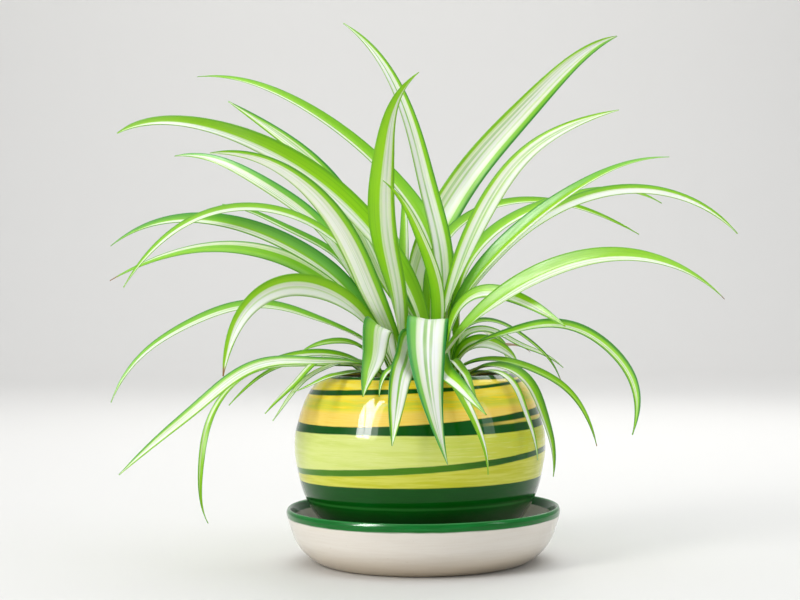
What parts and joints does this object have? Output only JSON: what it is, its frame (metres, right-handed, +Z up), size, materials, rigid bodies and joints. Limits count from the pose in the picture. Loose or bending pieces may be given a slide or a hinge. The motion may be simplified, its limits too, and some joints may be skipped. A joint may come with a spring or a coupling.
{
  "type": "potted spider plant",
  "caption": "Variegated spider plant with arching striped leaves, in a round hand-painted glazed pot standing on a glazed saucer.",
  "frame": {"origin": "centre of the saucer's flat underside, where it stands", "axes": "+Z up; -Y is the front, which the pot's painted face and most of the hanging leaves face; +X is to the right as seen from the front"},
  "size_m": [0.3372, 0.2698, 0.3017],
  "materials": {
    "saucer": "satin cream glaze, green lip",
    "pot": "glossy glaze, painted green bands",
    "soil": "rough, crumbly bark and peat mix",
    "crown": "matte plant tissue",
    "leaf": "satin leaf, white centre and green margins"
  },
  "bodies": {
    "root": {"saucer": "saucer", "pot": "pot", "soil": "soil", "crown": "crown", "leaf_upper_01": "leaf", "leaf_upper_02": "leaf", "leaf_upper_03": "leaf", "leaf_upper_04": "leaf", "leaf_upper_05": "leaf", "leaf_upper_06": "leaf", "leaf_upper_07": "leaf", "leaf_upper_08": "leaf", "leaf_upper_09": "leaf", "leaf_upper_10": "leaf", "leaf_upper_11": "leaf", "leaf_left_01": "leaf", "leaf_left_02": "leaf", "leaf_left_03": "leaf", "leaf_left_04": "leaf", "leaf_left_05": "leaf", "leaf_left_06": "leaf", "leaf_left_07": "leaf", "leaf_left_08": "leaf", "leaf_left_09": "leaf", "leaf_left_10": "leaf", "leaf_left_11": "leaf", "leaf_left_12": "leaf", "leaf_left_13": "leaf", "leaf_left_14": "leaf", "leaf_front_01": "leaf", "leaf_front_02": "leaf", "leaf_front_03": "leaf", "leaf_front_04": "leaf", "leaf_front_05": "leaf", "leaf_front_06": "leaf", "leaf_front_07": "leaf", "leaf_front_08": "leaf", "leaf_front_09": "leaf", "leaf_front_10": "leaf", "leaf_right_01": "leaf", "leaf_right_02": "leaf", "leaf_right_03": "leaf", "leaf_right_04": "leaf", "leaf_right_05": "leaf", "leaf_right_06": "leaf", "leaf_right_07": "leaf", "leaf_right_08": "leaf", "leaf_right_09": "leaf", "leaf_right_10": "leaf", "leaf_right_11": "leaf", "leaf_right_12": "leaf", "leaf_back_01": "leaf", "leaf_back_02": "leaf", "leaf_back_03": "leaf", "leaf_back_04": "leaf", "leaf_back_05": "leaf", "leaf_back_06": "leaf", "leaf_back_07": "leaf", "leaf_back_08": "leaf"}
  },
  "joints": []
}
